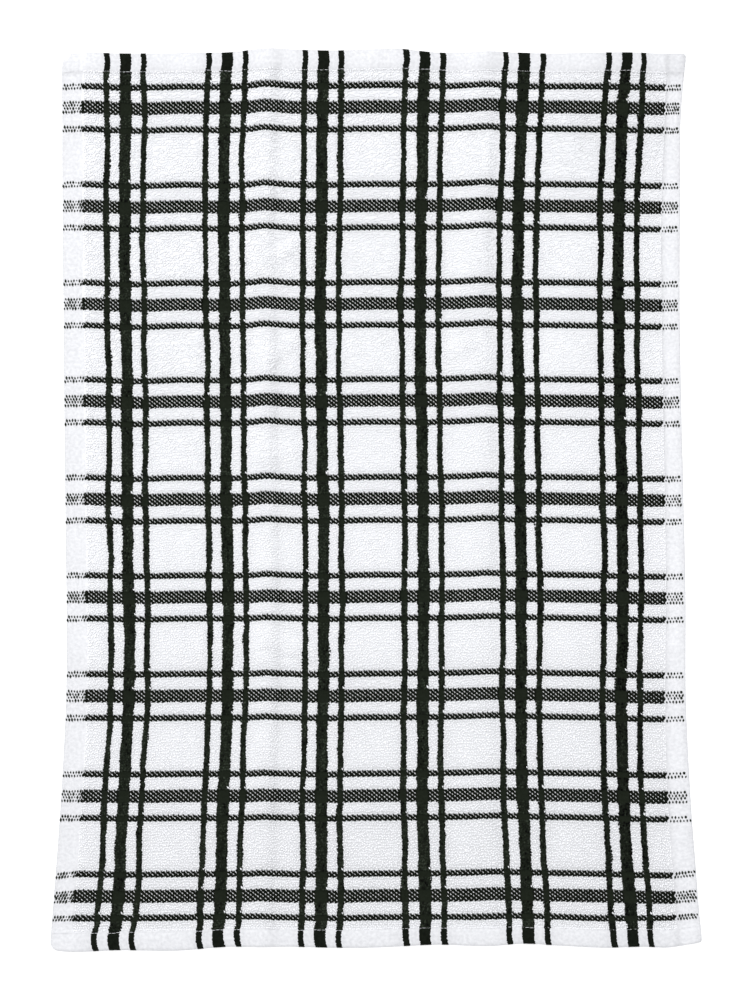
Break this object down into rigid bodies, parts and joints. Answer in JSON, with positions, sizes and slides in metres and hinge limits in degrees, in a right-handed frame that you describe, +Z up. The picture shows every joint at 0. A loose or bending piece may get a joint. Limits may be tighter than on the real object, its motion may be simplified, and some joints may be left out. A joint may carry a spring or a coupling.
{
  "type": "terry dishcloth",
  "caption": "Checked cotton terry dishcloth lying flat, with flat woven bands, side selvedges and stitched end hems.",
  "frame": {"origin": "middle of the cloth's box, on the surface that the underside lies on", "axes": "+X across the cloth to its right selvedge, +Y up its length to the top hem, +Z up from the surface"},
  "size_m": [0.4756, 0.6598, 0.0063],
  "materials": {
    "white_terry": "looped cotton pile, bleached white",
    "black_terry": "looped cotton pile, dyed near black",
    "sewing_thread": "white cotton sewing thread"
  },
  "bodies": {
    "root": {"cloth": "white_terry"}
  },
  "joints": []
}
